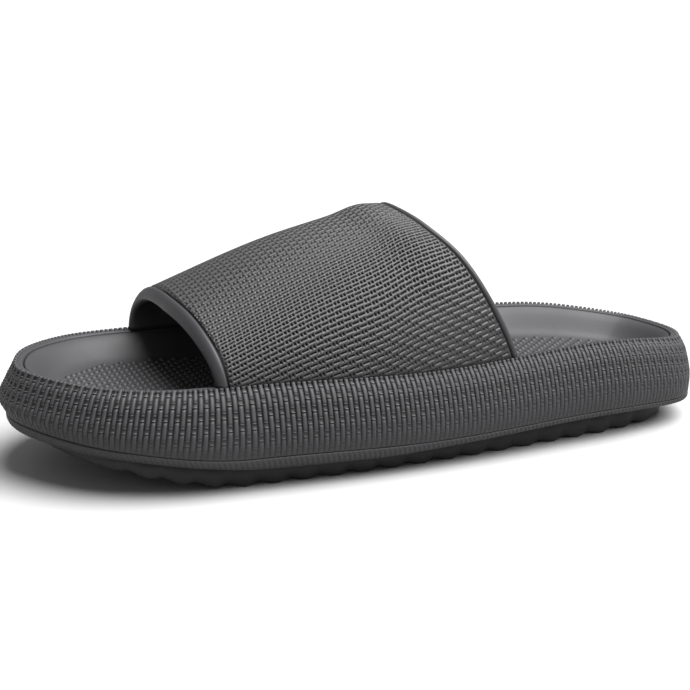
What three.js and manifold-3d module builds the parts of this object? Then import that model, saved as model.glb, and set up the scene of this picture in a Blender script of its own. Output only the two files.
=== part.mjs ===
// A moulded foam slide for the right foot: a thick sole with a dished footbed, a wide band over the
// forefoot and a tread set into the underside. Millimetres; the toe points to -X, the heel to +X, the
// inner (arch) side lies towards -Y and +Z is up.
import * as THREE from "three";
import { LoftGeometry } from "three/addons/geometries/LoftGeometry.js";
import { mergeVertices } from "three/addons/utils/BufferGeometryUtils.js";
import Module from "manifold-3d";

const wasm = await Module();
wasm.setup();

// Sizes of the whole slide
const LENGTH = 288;
const BALL_WIDTH = 114;
const HEEL_WIDTH = 84;
const RIM_HEIGHT = 40;
const TOE_SPRING = 17;
const FOOTBED_DEPTH = 12;
const ARCH_RISE = 3;
const FIT_GAP = 0.3;

// Sizes of the strap: its height is measured from the sole's rim
const STRAP_WALL = 5;
const STRAP_RISE = 54.9;
const STRAP_LEAN = 2.6;
const FRONT_BEAD = 4.2;
const REAR_LIP = 2.6;
const SEAM_DEPTH = 0.8;
const BEAD_HEIGHT = 0.4;
const EDGE_ROUNDING = 1;

// Sizes of the side wall, the rim and the tread
const RIM_INSET = 8.2;
const RIM_INSET_AT_TOE = 6.7;
const RIM_INSET_AT_HEEL = 5.2;
const RIM_GROOVE = 1.6;
const STRAP_MARGIN = 0.2;
const PARTING_STEP = 1.4;
const PARTING_STEP_AT_TOE = 2.6;
const TOE_BAND = 5;
const HEEL_BAND = 3;
const BAND_FOOT_INSET = 6;
const BAND_FOOT_INSET_AT_TOE = 4.8;
const BAND_FOOT_INSET_AT_HEEL = 2.8;
const TREAD_INSET = 12;
const TREAD_INSET_AT_TOE = 15;
const TREAD_SEAT = 3;
const LUG_PITCH = 11.9;
const LUG_WAVE = 1.7;
const LUG_CHAMFER = 0.8;
const GROOVE_WIDTH = 3;
const GROOVE_DEPTH = 2.2;
const GROOVE_ZIGZAG = 3;

// Half widths of the plan outline on the inner and outer side, as shares of the named width
const PLAN = [
  { at: 0.025, inner: 0.21, outer: 0.212, of: BALL_WIDTH },
  { at: 0.1, inner: 0.403, outer: 0.403, of: BALL_WIDTH },
  { at: 0.2, inner: 0.492, outer: 0.478, of: BALL_WIDTH },
  { at: 0.32, inner: 0.501, outer: 0.502, of: BALL_WIDTH },
  { at: 0.46, inner: 0.493, outer: 0.503, of: BALL_WIDTH },
  { at: 0.6, inner: 0.463, outer: 0.477, of: BALL_WIDTH },
  { at: 0.74, inner: 0.56, outer: 0.57, of: HEEL_WIDTH },
  { at: 0.87, inner: 0.481, outer: 0.44, of: HEEL_WIDTH },
  { at: 0.965, inner: 0.345, outer: 0.255, of: HEEL_WIDTH },
];
const TOE_TIP_Y = -0.05 * BALL_WIDTH;
const HEEL_TIP_Y = -0.075 * HEEL_WIDTH;

// Heights along the foot: rim and parting line above the tread as shares of RIM_HEIGHT, the lift of
// the tread as a share of TOE_SPRING, and the footbed below the rim as a share of FOOTBED_DEPTH
const HEIGHTS = [
  { at: 0, rim: 0.645, parting: 0.19, spring: 1, bed: 0.58 },
  { at: 0.12, rim: 0.808, parting: 0.288, spring: 0.5, bed: 0.76 },
  { at: 0.3, rim: 0.995, parting: 0.36, spring: 0, bed: 0.92 },
  { at: 0.55, rim: 0.94, parting: 0.315, spring: 0, bed: 0.84 },
  { at: 0.8, rim: 1, parting: 0.345, spring: 0, bed: 1 },
  { at: 1, rim: 0.815, parting: 0.245, spring: 0.06, bed: 0.92 },
];

// The side wall's section: how far down from the rim to the parting line, and how far inside the plan
// outline as a share of the rim's own inset, rounded along the sides and heel and sloping at the toe
const WALL_SECTION = [
  { down: 0.88, side: 0.03, toe: 0.2 },
  { down: 0.72, side: 0, toe: 0 },
  { down: 0.56, side: 0.06, toe: 0.2 },
  { down: 0.4, side: 0.2, toe: 0.42 },
  { down: 0.24, side: 0.38, toe: 0.64 },
  { down: 0.15, side: 0.53, toe: 0.77 },
  { down: 0.07, side: 0.74, toe: 0.88 },
  { down: 0, side: 1, toe: 1 },
];

// The inner wall of the footbed: distance past the rim's flat top and share of the footbed's depth
const INNER_WALL = [
  { past: 2.2, down: 0.12 },
  { past: 4.2, down: 0.4 },
  { past: 6.8, down: 0.8 },
  { past: 11, down: 0.96 },
];

// Front and rear edges of the strap, from its inner foot over the top to its outer foot
const STRAP_EDGES = [
  { across: 0, front: 0.249, rear: 0.675 },
  { across: 0.125, front: 0.242, rear: 0.64 },
  { across: 0.25, front: 0.233, rear: 0.607 },
  { across: 0.375, front: 0.225, rear: 0.572 },
  { across: 0.5, front: 0.218, rear: 0.556 },
  { across: 0.75, front: 0.212, rear: 0.581 },
  { across: 1, front: 0.204, rear: 0.633 },
];

// Height of the strap's ridge above the rim from its front to its rear edge, as a share of STRAP_RISE
const STRAP_RIDGE = [
  { along: 0, height: 0.392 },
  { along: 0.25, height: 0.59 },
  { along: 0.5, height: 0.77 },
  { along: 0.75, height: 0.914 },
  { along: 0.9, height: 1 },
  { along: 1, height: 1 },
];

// How square the strap's arch is: 2 is an ellipse, more is squarer
const SQUARENESS = { sides: 2.5, frontTop: 2.5, rearTop: 2.2 };

// Where the arch lies along the foot and how far it reaches each way
const ARCH = { at: 0.56, reach: 0.22 };

// How finely the curves are cut
const SOLE_STATIONS = 84;
const STRAP_STATIONS = 32;
const STRAP_ROWS = 8;

const xAt = (at) => (at - 0.5) * LENGTH;
const shareAt = (x) => x / LENGTH + 0.5;
const lerp = THREE.MathUtils.lerp;

// A smooth curve through one column of a table, flat at each high and low point
function smooth(rows, key, column, value) {
  const last = rows.length - 1;
  const clamped = THREE.MathUtils.clamp(value, rows[0][key], rows[last][key]);
  let i = 0;
  while (i < last - 1 && rows[i + 1][key] <= clamped) i += 1;
  const rise = (k) => (rows[k + 1][column] - rows[k][column]) / (rows[k + 1][key] - rows[k][key]);
  const slope = (k) => {
    if (k === 0) return rise(0);
    if (k === last) return rise(last - 1);
    return rise(k - 1) * rise(k) <= 0 ? 0 : (rise(k - 1) + rise(k)) / 2;
  };
  const span = rows[i + 1][key] - rows[i][key];
  const t = (clamped - rows[i][key]) / span;
  const blend = t * t * (3 - 2 * t);
  const bend = t * (1 - t) * ((1 - t) * slope(i) - t * slope(i + 1)) * span;
  return lerp(rows[i][column], rows[i + 1][column], blend) + bend;
}

const springZ = (x) => TOE_SPRING * smooth(HEIGHTS, "at", "spring", shareAt(x));
const rimZ = (x) => springZ(x) + RIM_HEIGHT * smooth(HEIGHTS, "at", "rim", shareAt(x));
const partingZ = (x) => springZ(x) + RIM_HEIGHT * smooth(HEIGHTS, "at", "parting", shareAt(x));
const bandFootZ = (x) => partingZ(x) - lerp(TOE_BAND, HEEL_BAND, shareAt(x));
const footbedDrop = (x) => FOOTBED_DEPTH * smooth(HEIGHTS, "at", "bed", shareAt(x));

// The plan outline, anticlockwise from the toe along the inner side: t = 0 toe tip, t = 0.5 heel tip
const outline = new THREE.CatmullRomCurve3(
  [
    new THREE.Vector3(xAt(0), TOE_TIP_Y, 0),
    ...PLAN.map((row) => new THREE.Vector3(xAt(row.at), -row.inner * row.of, 0)),
    new THREE.Vector3(xAt(1), HEEL_TIP_Y, 0),
    ...PLAN.toReversed().map((row) => new THREE.Vector3(xAt(row.at), row.outer * row.of, 0)),
  ],
  true,
  "centripetal",
);

// An inset that differs at the two ends of the foot
const insets = (side, toe, heel) => ({ side, toe, heel });
const RIM_EDGE = insets(RIM_INSET, RIM_INSET_AT_TOE, RIM_INSET_AT_HEEL);
const BAND_FOOT = insets(BAND_FOOT_INSET, BAND_FOOT_INSET_AT_TOE, BAND_FOOT_INSET_AT_HEEL);
const TREAD_EDGE = insets(TREAD_INSET, TREAD_INSET_AT_TOE, TREAD_INSET);
const PARTING = insets(PARTING_STEP, PARTING_STEP_AT_TOE, 0);
const moved = ({ side, toe, heel }, share, more = 0) =>
  insets(side * share + more, toe * share + more, heel * share + more);

// The outline's point at t, moved in by an inset that blends towards its end value round the tips
function insetPoint(t, { side, toe, heel }) {
  const point = outline.getPoint(t);
  const along = outline.getTangent(t);
  const end = along.y < 0 ? toe : heel;
  const inset = lerp(side, end, along.y ** 2);
  return new THREE.Vector3(point.x - along.y * inset, point.y + along.x * inset, 0);
}

// The t of the outline point that lies at x once it is moved in by inset, on one side of the foot
function outlineAt(x, side, inset) {
  let toe = side < 0 ? 0 : 1;
  let heel = 0.5;
  for (let step = 0; step < 30; step += 1) {
    const middle = (toe + heel) / 2;
    if (insetPoint(middle, inset).x < x) toe = middle;
    else heel = middle;
  }
  return (toe + heel) / 2;
}
const sideY = (x, side, inset) => insetPoint(outlineAt(x, side, inset), inset).y;

// A ring that closes on the foot's middle line: share 0 is the ring itself, share 1 its middle line,
// where each inner point meets the outer point across from it
function towardsMiddle(ring, share, endMargin) {
  const middle = ring.map((point, i) => {
    const across = ring[(ring.length - i) % ring.length];
    const centre = point.clone().add(across).multiplyScalar(0.5);
    return centre.setX(centre.x * (1 - (2 * endMargin) / LENGTH));
  });
  return ring.map((point, i) => point.clone().lerp(middle[i], share));
}

// Merges a closed surface's shared corners, drops the triangles that fold to nothing and makes a solid
function solidOf(geometry) {
  const bare = new THREE.BufferGeometry();
  bare.setAttribute("position", geometry.attributes.position);
  bare.setIndex(geometry.index);
  const merged = mergeVertices(bare, 1e-3);
  const corners = merged.index.array;
  const kept = [];
  for (let i = 0; i < corners.length; i += 3) {
    const [a, b, c] = corners.slice(i, i + 3);
    if (a !== b && b !== c && c !== a) kept.push(a, b, c);
  }
  return new wasm.Manifold(
    new wasm.Mesh({
      numProp: 3,
      vertProperties: merged.attributes.position.array,
      triVerts: new Uint32Array(kept),
    }),
  );
}

function meshOf(name, solid, material) {
  const { vertProperties, triVerts, numProp } = solid.getMesh();
  const buffer = new THREE.InterleavedBuffer(vertProperties, numProp);
  const geometry = new THREE.BufferGeometry();
  geometry.setAttribute("position", new THREE.InterleavedBufferAttribute(buffer, 3, 0));
  geometry.setIndex(new THREE.BufferAttribute(triVerts, 1));
  geometry.computeVertexNormals();
  const mesh = new THREE.Mesh(geometry, material);
  mesh.name = name;
  return mesh;
}

// The lift of the footbed's inner half under the foot's arch, fading towards the toe and the heel
function archLift(point, share) {
  if (point.y > 0) return 0;
  const away = Math.min(1, Math.abs(shareAt(point.x) - ARCH.at) / ARCH.reach);
  return (ARCH_RISE * share * (1 + Math.cos(Math.PI * away))) / 2;
}

// The sole: a recess for the tread, the lower band, the rounded side wall, the flat rim and the footbed
function makeSole() {
  const ts = Array.from({ length: SOLE_STATIONS }, (_, i) => i / SOLE_STATIONS);
  const ring = (inset, height) =>
    ts.map((t) => {
      const point = insetPoint(t, inset);
      return point.setZ(height(point.x));
    });
  const seatEdge = moved(TREAD_EDGE, 1, -FIT_GAP);
  const seat = ring(seatEdge, (x) => bandFootZ(x) + TREAD_SEAT);
  const band = (share, inset) => ring(inset, (x) => lerp(bandFootZ(x), partingZ(x), share));
  const wall = ({ down, side, toe }) => {
    const edge = insets(RIM_EDGE.side * side, RIM_EDGE.toe * toe, RIM_EDGE.heel * side);
    return ring(edge, (x) => lerp(rimZ(x), partingZ(x), down));
  };

  const rimEnd = STRAP_WALL + 2 * STRAP_MARGIN;
  const rim = ring(moved(RIM_EDGE, 1, rimEnd), rimZ);
  const groove = ring(moved(RIM_EDGE, 1, rimEnd + 0.4 * RIM_GROOVE), (x) => rimZ(x) - RIM_GROOVE);
  const innerWall = ({ past, down }) => {
    const share = past / (BALL_WIDTH / 2 - RIM_INSET - rimEnd);
    return towardsMiddle(rim, share, HEEL_WIDTH / 2).map((point) =>
      point.setZ(rimZ(point.x) - footbedDrop(point.x) * down + archLift(point, down)),
    );
  };
  const bed = (share) => {
    const from = innerWall(INNER_WALL.at(-1));
    return towardsMiddle(from, share, HEEL_WIDTH / 4).map((point) =>
      point.setZ(rimZ(point.x) - footbedDrop(point.x) + archLift(point, 1 - share)),
    );
  };
  const sections = [
    towardsMiddle(seat, 1, TREAD_INSET + TREAD_SEAT),
    seat,
    ring(seatEdge, bandFootZ),
    ring(BAND_FOOT, bandFootZ),
    band(0.45, moved(BAND_FOOT, 0.5)),
    band(0.92, moved(PARTING, 1, 0.5)),
    ring(PARTING, partingZ),
    ...WALL_SECTION.map(wall),
    rim,
    groove,
    ...INNER_WALL.map(innerWall),
    bed(0.35),
    bed(0.7),
    bed(1),
  ];
  return solidOf(new LoftGeometry(sections));
}

// The wavy edge of the tread: each lug swells slowly towards the heel and falls back quickly
const LUG_STEPS = [
  { phase: 0, swell: -1 },
  { phase: 0.3, swell: 0 },
  { phase: 0.6, swell: 1 },
  { phase: 0.8, swell: 0.4 },
];
const LUGS = { from: 0.1, to: 0.93 };
const lugCount = Math.floor(((LUGS.to - LUGS.from) * LENGTH) / LUG_PITCH);
const lugX = (lug) => xAt(LUGS.from) + lug * LUG_PITCH;

function makeOutsole() {
  const toeArc = outlineAt(lugX(0), -1, TREAD_EDGE);
  const heelArc = outlineAt(lugX(lugCount), -1, TREAD_EDGE);
  const stations = [];
  for (let step = 0; step < 7; step += 1) stations.push({ t: (toeArc * step) / 7, swell: 0 });
  for (let lug = 0; lug < lugCount; lug += 1)
    for (const { phase, swell } of LUG_STEPS) {
      const t = outlineAt(lugX(lug + phase), -1, TREAD_EDGE);
      stations.push({ t, swell: lug + phase === 0 ? 0 : swell });
    }
  for (let step = 0; step <= 4; step += 1)
    stations.push({ t: lerp(heelArc, 0.5, step / 4), swell: 0 });
  const outer = stations.slice(1, -1).map(({ t, swell }) => {
    const x = insetPoint(t, TREAD_EDGE).x;
    return { t: outlineAt(x, 1, TREAD_EDGE), swell };
  });
  const around = [...stations, ...outer.reverse()];
  const ring = (past, swellShare, height) =>
    around.map(({ t, swell }) => {
      const point = insetPoint(t, moved(TREAD_EDGE, 1, past - swell * LUG_WAVE * swellShare));
      return point.setZ(height(point.x));
    });
  const shelfZ = (x) => bandFootZ(x) - FIT_GAP;
  const bottom = ring(LUG_CHAMFER, 1, springZ);
  const top = ring(0, 0, (x) => bandFootZ(x) + TREAD_SEAT - FIT_GAP);
  const block = solidOf(
    new LoftGeometry([
      towardsMiddle(bottom, 1, TREAD_INSET),
      bottom,
      ring(0, 1, (x) => springZ(x) + LUG_CHAMFER),
      ring(0, 1, shelfZ),
      ring(0, 0, shelfZ),
      top,
      towardsMiddle(top, 1, TREAD_INSET),
    ]),
  );
  const grooves = Array.from({ length: lugCount }, (_, lug) => treadGroove(lugX(lug + 1)));
  return grooves.reduce((left, groove) => left.subtract(groove), block);
}

// One zigzag groove across the tread, tilted with the toe spring
function treadGroove(x) {
  const bends = 8;
  const half = BALL_WIDTH / 2;
  const line = Array.from({ length: bends + 1 }, (_, i) => {
    const zigzag = GROOVE_ZIGZAG * (i % 2 ? -1 : 0);
    return new THREE.Vector2(zigzag, lerp(-half, half, i / bends));
  });
  const offset = (side) => line.map((p) => new THREE.Vector2(p.x + (side * GROOVE_WIDTH) / 2, p.y));
  const shape = new THREE.Shape([...offset(1), ...offset(-1).reverse()]);
  const cutter = new THREE.ExtrudeGeometry(shape, { depth: 2 * GROOVE_DEPTH, bevelEnabled: false });
  const slope = Math.atan((springZ(x + 1) - springZ(x - 1)) / 2);
  cutter.translate(0, 0, -GROOVE_DEPTH).rotateY(-slope).translate(x, 0, springZ(x));
  return solidOf(cutter);
}

// A point of the strap's outer face: across 0..1 from the inner to the outer foot, along 0..1 from
// the front to the rear edge
function strapPoint(across, along) {
  const x = xAt(
    lerp(
      smooth(STRAP_EDGES, "across", "front", across),
      smooth(STRAP_EDGES, "across", "rear", across),
      along,
    ),
  );
  const foot = moved(RIM_EDGE, 1, STRAP_MARGIN);
  const innerY = sideY(x, -1, foot);
  const outerY = sideY(x, 1, foot);
  const cos = -Math.cos(Math.PI * across);
  const sin = Math.max(0, Math.sin(Math.PI * across));
  const sideways = Math.sign(cos) * Math.abs(cos) ** (2 / SQUARENESS.sides);
  const rise = STRAP_RISE * smooth(STRAP_RIDGE, "along", "height", along) - FIT_GAP;
  const upwards = sin ** (2 / lerp(SQUARENESS.frontTop, SQUARENESS.rearTop, along));
  const y = (innerY + outerY) / 2 + ((outerY - innerY) / 2) * sideways + STRAP_LEAN * sin;
  const z = rimZ(x) + FIT_GAP + rise * upwards;
  return new THREE.Vector3(x, y, z);
}

function strapNormal(across, along) {
  const step = 0.004;
  const low = Math.max(across - step, 0);
  const high = Math.min(across + step, 1);
  const overTop = strapPoint(high, along).sub(strapPoint(low, along));
  const alongFoot = strapPoint(across, along + step).sub(strapPoint(across, along - step));
  return alongFoot.cross(overTop).normalize();
}

// The strap: one moulded wall with a bead along its front edge and a narrow lip along its rear edge
function makeStrap() {
  const loopAt = (across) => {
    const front = strapPoint(across, 0);
    const length = strapPoint(across, 1).x - front.x;
    const fieldStart = FRONT_BEAD + SEAM_DEPTH;
    const fieldEnd = length - REAR_LIP - SEAM_DEPTH;
    const outer = [
      { from: 0, height: -SEAM_DEPTH },
      { from: EDGE_ROUNDING, height: BEAD_HEIGHT },
      { from: FRONT_BEAD - SEAM_DEPTH, height: BEAD_HEIGHT },
      { from: FRONT_BEAD, height: -SEAM_DEPTH / 2 },
    ];
    for (let row = 0; row <= STRAP_ROWS; row += 1)
      outer.push({ from: lerp(fieldStart, fieldEnd, row / STRAP_ROWS), height: 0 });
    outer.push(
      { from: fieldEnd + SEAM_DEPTH / 2, height: -SEAM_DEPTH / 2 },
      { from: fieldEnd + SEAM_DEPTH, height: BEAD_HEIGHT / 2 },
      { from: length - EDGE_ROUNDING, height: BEAD_HEIGHT / 2 },
      { from: length, height: -SEAM_DEPTH },
    );
    const last = outer.length - 1;
    const inner = outer.map(({ from }, i) => ({
      from,
      height: -STRAP_WALL + (i === 0 || i === last ? SEAM_DEPTH : 0),
    }));
    return [...outer, ...inner.reverse()].map(({ from, height }) => {
      const along = from / length;
      const normal = strapNormal(across, along);
      const onFoot = across === 0 || across === 1;
      const point = strapPoint(across, along).addScaledVector(normal, height);
      return onFoot ? point.setZ(rimZ(point.x) + FIT_GAP) : point;
    });
  };
  const closed = (loop) =>
    loop.map((point, i) => point.clone().add(loop[loop.length - 1 - i]).multiplyScalar(0.5));
  const loops = Array.from({ length: STRAP_STATIONS + 1 }, (_, i) => loopAt(i / STRAP_STATIONS));
  return solidOf(new LoftGeometry([closed(loops[0]), ...loops, closed(loops.at(-1))]));
}

const foam = (color, roughness) => new THREE.MeshStandardMaterial({ color, roughness, metalness: 0 });

const slide = new THREE.Group();
slide.name = "slide";
slide.add(
  meshOf("sole", makeSole(), foam(0x454546, 0.72)),
  meshOf("outsole", makeOutsole(), foam(0x333334, 0.8)),
  meshOf("strap", makeStrap(), foam(0x4b4b4c, 0.7)),
);

// The middle of the underside of the slide's box is the origin
const box = new THREE.Box3().setFromObject(slide);
const middle = box.getCenter(new THREE.Vector3());
slide.position.set(-middle.x, -middle.y, -box.min.z);

export default slide;
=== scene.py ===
# %% [markdown]
# # A moulded foam slide
# The real slide is one piece of EVA foam: a thick sole with a dished footbed, a wide band over the
# forefoot and a tread set into the underside. Its side wall and band carry a woven-looking relief that
# was cut into the mould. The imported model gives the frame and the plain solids. This lesson makes the
# same forms again from the same named sizes, finely enough to hold the relief as real geometry.

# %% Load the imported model
import math
import bmesh
import bpy
import numpy as np
from mathutils import Matrix, Vector
from mathutils.bvhtree import BVHTree


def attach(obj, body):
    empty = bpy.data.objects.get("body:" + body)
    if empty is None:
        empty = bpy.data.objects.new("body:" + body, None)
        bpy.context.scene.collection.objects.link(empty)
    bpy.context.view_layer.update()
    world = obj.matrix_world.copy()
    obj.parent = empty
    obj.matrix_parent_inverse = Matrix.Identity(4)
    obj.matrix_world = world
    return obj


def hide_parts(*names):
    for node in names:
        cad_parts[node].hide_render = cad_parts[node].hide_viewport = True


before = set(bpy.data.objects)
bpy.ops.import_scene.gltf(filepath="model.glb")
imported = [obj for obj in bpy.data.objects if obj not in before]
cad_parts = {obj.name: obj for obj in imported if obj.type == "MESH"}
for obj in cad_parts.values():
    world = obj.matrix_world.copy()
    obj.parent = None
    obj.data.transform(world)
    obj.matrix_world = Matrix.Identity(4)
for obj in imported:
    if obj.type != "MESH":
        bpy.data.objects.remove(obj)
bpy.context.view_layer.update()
print("nodes:", sorted(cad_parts))

# %% [markdown]
# ## The slide's sizes
# A shoe is drawn from its last: a plan outline, a line of heights along the foot, and a section for the
# side wall. These are the values of the CAD source, in millimetres, so every piece below lies exactly
# where its solid does. Writing points down from a mesh would also work, but nobody could resize them.

# %% Sizes in millimetres, as in the CAD source
MM = 0.001
FRAME_SHIFT = np.array([0.0, -0.167, 0.0])
LENGTH = 288.0
BALL_WIDTH = 114.0
HEEL_WIDTH = 84.0
RIM_HEIGHT = 40.0
TOE_SPRING = 17.0
FOOTBED_DEPTH = 12.0
ARCH_RISE = 3.0
ARCH_AT = 0.56
ARCH_REACH = 0.22
STRAP_WALL = 5.0
STRAP_RISE = 54.9
STRAP_LEAN = 2.6
FIT_GAP = 0.3
FRONT_BEAD = 4.2
REAR_LIP = 2.6
STRAP_MARGIN = 0.2
RIM_WIDTH = STRAP_WALL + 2 * STRAP_MARGIN
TREAD_SEAT = 3.0

# Plan outline: share of the length, inner and outer half width as shares of the width beside them
PLAN = [
    (0.025, 0.21, 0.212, BALL_WIDTH),
    (0.1, 0.403, 0.403, BALL_WIDTH),
    (0.2, 0.492, 0.478, BALL_WIDTH),
    (0.32, 0.501, 0.502, BALL_WIDTH),
    (0.46, 0.493, 0.503, BALL_WIDTH),
    (0.6, 0.463, 0.477, BALL_WIDTH),
    (0.74, 0.56, 0.57, HEEL_WIDTH),
    (0.87, 0.481, 0.44, HEEL_WIDTH),
    (0.965, 0.345, 0.255, HEEL_WIDTH),
]
# Share of the length, then the rim, the parting line, the toe spring and the footbed's depth as shares
HEIGHTS = np.array([
    (0.0, 0.645, 0.19, 1.0, 0.58),
    (0.12, 0.808, 0.288, 0.5, 0.76),
    (0.3, 0.995, 0.36, 0.0, 0.92),
    (0.55, 0.94, 0.315, 0.0, 0.84),
    (0.8, 1.0, 0.345, 0.0, 1.0),
    (1.0, 0.815, 0.245, 0.06, 0.92),
])
# Side wall: share of the way down to the parting line, then the inset along the sides, at the toe and
# at the heel
WALL = np.array([
    (0.0, 8.2, 6.7, 5.2),
    (0.07, 6.07, 5.9, 3.85),
    (0.15, 4.35, 5.16, 2.76),
    (0.24, 3.12, 4.29, 1.98),
    (0.4, 1.64, 2.81, 1.04),
    (0.56, 0.49, 1.34, 0.31),
    (0.72, 0.0, 0.0, 0.0),
    (0.88, 0.25, 1.34, 0.16),
    (1.0, 1.4, 2.6, 0.0),
])
# Strap: share of the way over the foot, then its front and rear edge as shares of the length
STRAP_EDGES = np.array([
    (0.0, 0.249, 0.675),
    (0.125, 0.242, 0.64),
    (0.25, 0.233, 0.607),
    (0.375, 0.225, 0.572),
    (0.5, 0.218, 0.556),
    (0.75, 0.212, 0.581),
    (1.0, 0.204, 0.633),
])
STRAP_RIDGE = np.array([(0.0, 0.392), (0.25, 0.59), (0.5, 0.77), (0.75, 0.914), (0.9, 1.0), (1.0, 1.0)])


def lerp(a, b, share):
    return a + (b - a) * share


def smooth(rows, column, at):
    """A smooth curve through one column of a table, flat at each high and low point."""
    keys = rows[:, 0]
    values = rows[:, column]
    rise = np.diff(values) / np.diff(keys)
    slopes = np.empty(len(keys))
    slopes[0] = rise[0]
    slopes[-1] = rise[-1]
    slopes[1:-1] = np.where(rise[:-1] * rise[1:] <= 0, 0, (rise[:-1] + rise[1:]) / 2)
    at = np.clip(at, keys[0], keys[-1])
    i = np.clip(np.searchsorted(keys, at, side="right") - 1, 0, len(keys) - 2)
    span = keys[i + 1] - keys[i]
    t = (at - keys[i]) / span
    bend = t * (1 - t) * ((1 - t) * slopes[i] - t * slopes[i + 1]) * span
    return lerp(values[i], values[i + 1], t * t * (3 - 2 * t)) + bend


def share_at(x):
    return x / LENGTH + 0.5


def spring_z(x):
    return TOE_SPRING * smooth(HEIGHTS, 3, share_at(x))


def rim_z(x):
    return spring_z(x) + RIM_HEIGHT * smooth(HEIGHTS, 1, share_at(x))


def parting_z(x):
    return spring_z(x) + RIM_HEIGHT * smooth(HEIGHTS, 2, share_at(x))


def band_foot_z(x):
    return parting_z(x) - lerp(5.0, 3.0, share_at(x))


# %% [markdown]
# ## The plan outline
# The outline is a closed curve through named half widths, toe tip first, then the inner side, the heel
# and the outer side. A Bezier curve object could be traced by hand instead. A centripetal spline is used
# because it passes through each width without a bulge between them.

# %% The outline and its insets
CONTROL = np.array(
    [(-LENGTH / 2, -0.05 * BALL_WIDTH)]
    + [((at - 0.5) * LENGTH, -inner * width) for at, inner, outer, width in PLAN]
    + [(LENGTH / 2, -0.075 * HEEL_WIDTH)]
    + [((at - 0.5) * LENGTH, outer * width) for at, inner, outer, width in reversed(PLAN)]
)


def outline(t):
    """Points and unit tangents of the outline: t = 0 toe tip, t = 0.5 heel tip."""
    count = len(CONTROL)
    k = np.mod(t, 1.0) * count
    i = np.floor(k).astype(int)
    f = (k - i)[..., None]
    p0, p1, p2, p3 = (CONTROL[(i + step) % count] for step in (-1, 0, 1, 2))
    spans = ((p0, p1), (p1, p2), (p2, p3))
    gaps = [np.sqrt(np.linalg.norm(b - a, axis=-1))[..., None] for a, b in spans]
    before, here, after = gaps
    leave = (p2 - p1) + here * ((p1 - p0) / before - (p2 - p0) / (before + here))
    reach = (p2 - p1) + here * ((p3 - p2) / after - (p3 - p1) / (here + after))
    point = (2 * f**3 - 3 * f**2 + 1) * p1 + (f**3 - 2 * f**2 + f) * leave
    point = point + (3 * f**2 - 2 * f**3) * p2 + (f**3 - f**2) * reach
    along = (6 * f**2 - 6 * f) * (p1 - p2) + (3 * f**2 - 4 * f + 1) * leave + (3 * f**2 - 2 * f) * reach
    return point, along / np.linalg.norm(along, axis=-1)[..., None]


def inset_xy(t, side, toe, heel):
    """The outline moved in, by an inset that blends towards its end value round the two tips."""
    point, along = outline(t)
    end = np.where(along[..., 1] < 0, toe, heel)
    inset = lerp(side, end, along[..., 1] ** 2)
    return point[..., 0] - along[..., 1] * inset, point[..., 1] + along[..., 0] * inset


DENSE = np.linspace(0, 1, 8001)
dense_points = outline(DENSE)[0]
DISTANCE = np.concatenate([[0], np.cumsum(np.linalg.norm(np.diff(dense_points, axis=0), axis=1))])
AROUND = DISTANCE[-1]
HEEL_DISTANCE = np.interp(0.5, DENSE, DISTANCE)


def t_at(distance):
    """The outline's t at a distance along it from the toe tip, in millimetres."""
    return np.interp(np.mod(distance, AROUND), DISTANCE, DENSE)


def stacked(x, y, z):
    return np.stack(np.broadcast_arrays(x, y, z), axis=-1)


print("round the sole:", round(AROUND, 1), "mm")

# %% [markdown]
# ## From a grid to a piece
# Every large form here is a sheet that is bent to shape: a grid operator makes the mesh, each of its
# corners is moved to the surface that the sizes give, and corners that land on each other are merged.
# Lofting curves with bridge_loops gives the same form, but a grid keeps rows and columns, and rows and
# columns are what a woven relief is made of.

# %% A sheet bent to shape


def new_piece(name, bm, material):
    """The object of a bmesh, smooth shaded, riding on the slide's one body."""
    bmesh.ops.remove_doubles(bm, verts=bm.verts, dist=2e-6)
    loose = [vert for vert in bm.verts if not vert.link_faces]
    bmesh.ops.delete(bm, geom=loose, context="VERTS")
    bmesh.ops.holes_fill(bm, edges=[edge for edge in bm.edges if edge.is_boundary], sides=0)
    bmesh.ops.recalc_face_normals(bm, faces=bm.faces)
    mesh = bpy.data.meshes.new(name)
    bm.to_mesh(mesh)
    open_edges = sum(edge.is_boundary for edge in bm.edges)
    bm.free()
    mesh.shade_smooth()
    mesh.materials.append(material)
    piece = bpy.data.objects.new(name, mesh)
    bpy.context.scene.collection.objects.link(piece)
    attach(piece, "root")
    triangles = sum(len(face.vertices) - 2 for face in mesh.polygons)
    print(name, triangles, "triangles,", open_edges, "open edges")
    return piece


def bent_sheet(name, points, relief, material, closed_rows=False):
    """A grid whose corners go to points, rows by columns in millimetres, with a relief height each."""
    rows, columns = relief.shape
    bm = bmesh.new()
    bmesh.ops.create_grid(bm, x_segments=columns - 1, y_segments=rows - (not closed_rows), size=0.5)
    sheet = bpy.data.meshes.new("sheet")
    bm.to_mesh(sheet)
    bm.free()
    flat = np.empty(len(sheet.vertices) * 3, dtype=np.float32)
    sheet.vertices.foreach_get("co", flat)
    corners = flat.reshape(-1, 3)
    column = np.rint((corners[:, 0] + 0.5) * (columns - 1)).astype(int)
    row = np.rint((corners[:, 1] + 0.5) * (rows - (not closed_rows))).astype(int) % rows
    places = (points[row, column] + FRAME_SHIFT) * MM
    sheet.vertices.foreach_set("co", places.astype(np.float32).ravel())
    # The relief height also sets the finishes' painted shade at the bottom and painted highlight on the top
    heights = sheet.attributes.new("relief", "FLOAT", "POINT")
    heights.data.foreach_set("value", relief[row, column].astype(np.float32))
    bm = bmesh.new()
    bm.from_mesh(sheet)
    bpy.data.meshes.remove(sheet)
    return new_piece(name, bm, material)
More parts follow.
